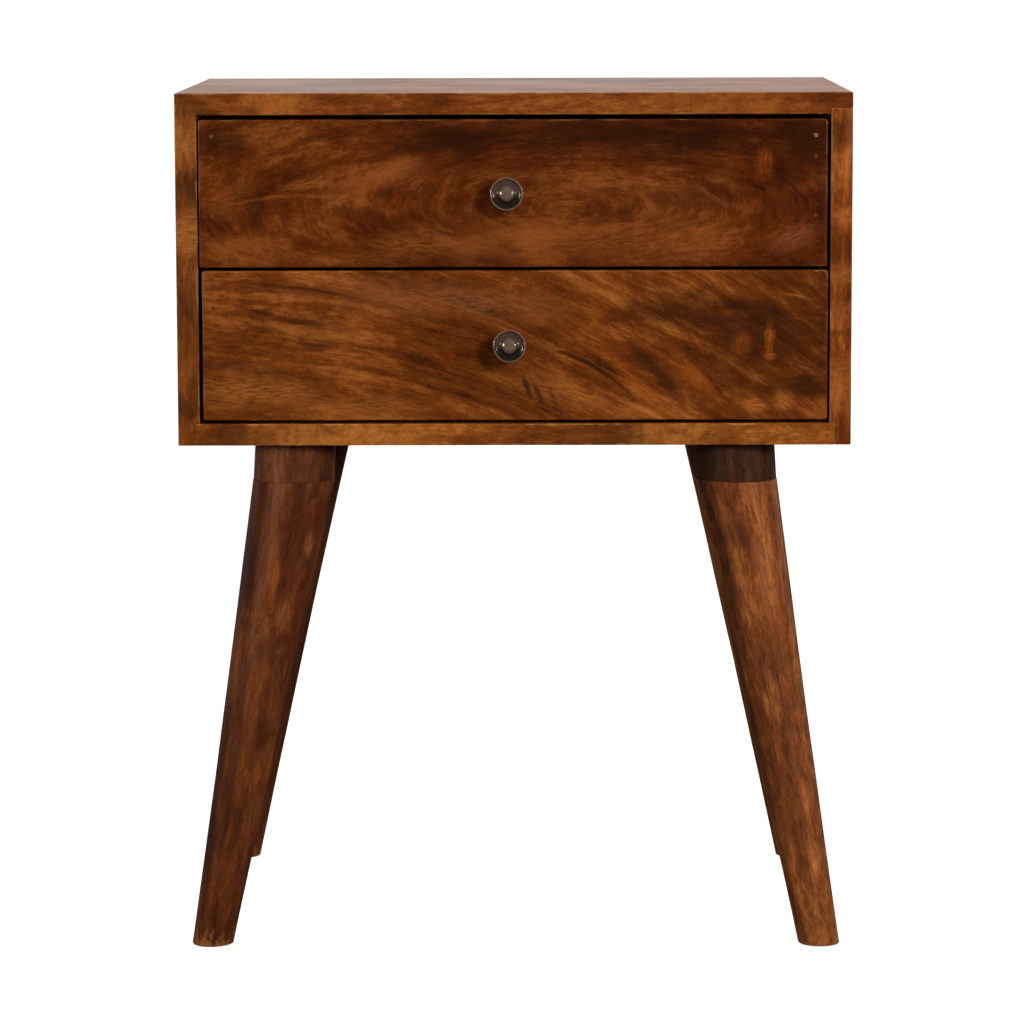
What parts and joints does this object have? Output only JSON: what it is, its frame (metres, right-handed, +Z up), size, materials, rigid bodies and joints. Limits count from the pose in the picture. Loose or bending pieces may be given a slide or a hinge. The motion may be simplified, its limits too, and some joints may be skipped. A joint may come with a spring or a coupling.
{
  "type": "nightstand",
  "caption": "Bedside cabinet with stacked sliding drawers, round metal knobs and splayed round tapered legs, in stained hardwood.",
  "frame": {"origin": "on the floor, under the middle of the object's own box", "axes": "+Z up, +X to the right as seen from the front, -Y out of the drawer fronts; the drawers open towards -Y"},
  "size_m": [0.45, 0.3272, 0.577],
  "materials": {
    "case_wood": "chestnut stain under satin lacquer, grain lengthwise on each board",
    "upper_front_wood": "dark reddish chestnut stain under satin-gloss lacquer, figured, with golden streaks",
    "lower_front_wood": "golden chestnut stain under satin-gloss lacquer, with long dark streaks",
    "leg_wood": "dark brown stain under satin lacquer, grain lengthwise",
    "inner_wood": "plain planed hardwood, unstained, lightly sealed",
    "plywood": "thin plywood with a plain face veneer",
    "dowel_wood": "bare beech",
    "knob_brass": "antique brass, darkened in the dish and rubbed bright on the rim and button",
    "insert_brass": "plain machined brass",
    "fastener_steel": "zinc-plated steel"
  },
  "bodies": {
    "carcass": {"top_panel": "case_wood", "left_side_panel": "case_wood", "right_side_panel": "case_wood", "bottom_panel": "case_wood", "back_panel": "plywood", "back_panel_nails": "fastener_steel", "top_dowels": "dowel_wood", "bottom_dowels": "dowel_wood", "upper_left_runner": "inner_wood", "upper_right_runner": "inner_wood", "lower_left_runner": "inner_wood", "lower_right_runner": "inner_wood", "runner_screws": "fastener_steel", "leg_block_screws": "fastener_steel", "leg_bolts": "fastener_steel", "leg_inserts": "insert_brass", "front_left_leg_block": "leg_wood", "front_left_leg": "leg_wood", "front_right_leg_block": "leg_wood", "front_right_leg": "leg_wood", "rear_left_leg_block": "leg_wood", "rear_left_leg": "leg_wood", "rear_right_leg_block": "leg_wood", "rear_right_leg": "leg_wood"},
    "upper_drawer": {"upper_drawer_front": "upper_front_wood", "upper_drawer_left_side": "inner_wood", "upper_drawer_right_side": "inner_wood", "upper_drawer_back": "inner_wood", "upper_drawer_bottom": "plywood", "upper_knob": "knob_brass", "upper_knob_screw": "fastener_steel", "upper_front_nails": "fastener_steel", "upper_back_nails": "fastener_steel", "upper_bottom_nails": "fastener_steel"},
    "lower_drawer": {"lower_drawer_front": "lower_front_wood", "lower_drawer_left_side": "inner_wood", "lower_drawer_right_side": "inner_wood", "lower_drawer_back": "inner_wood", "lower_drawer_bottom": "plywood", "lower_knob": "knob_brass", "lower_knob_screw": "fastener_steel", "lower_front_nails": "fastener_steel", "lower_back_nails": "fastener_steel", "lower_bottom_nails": "fastener_steel"}
  },
  "joints": [
    {"name": "upper_drawer_slide", "type": "slide", "parent": "carcass", "child": "upper_drawer", "axis": [0, -1, 0], "range_m": [0, 0.19]},
    {"name": "lower_drawer_slide", "type": "slide", "parent": "carcass", "child": "lower_drawer", "axis": [0, -1, 0], "range_m": [0, 0.19]}
  ]
}
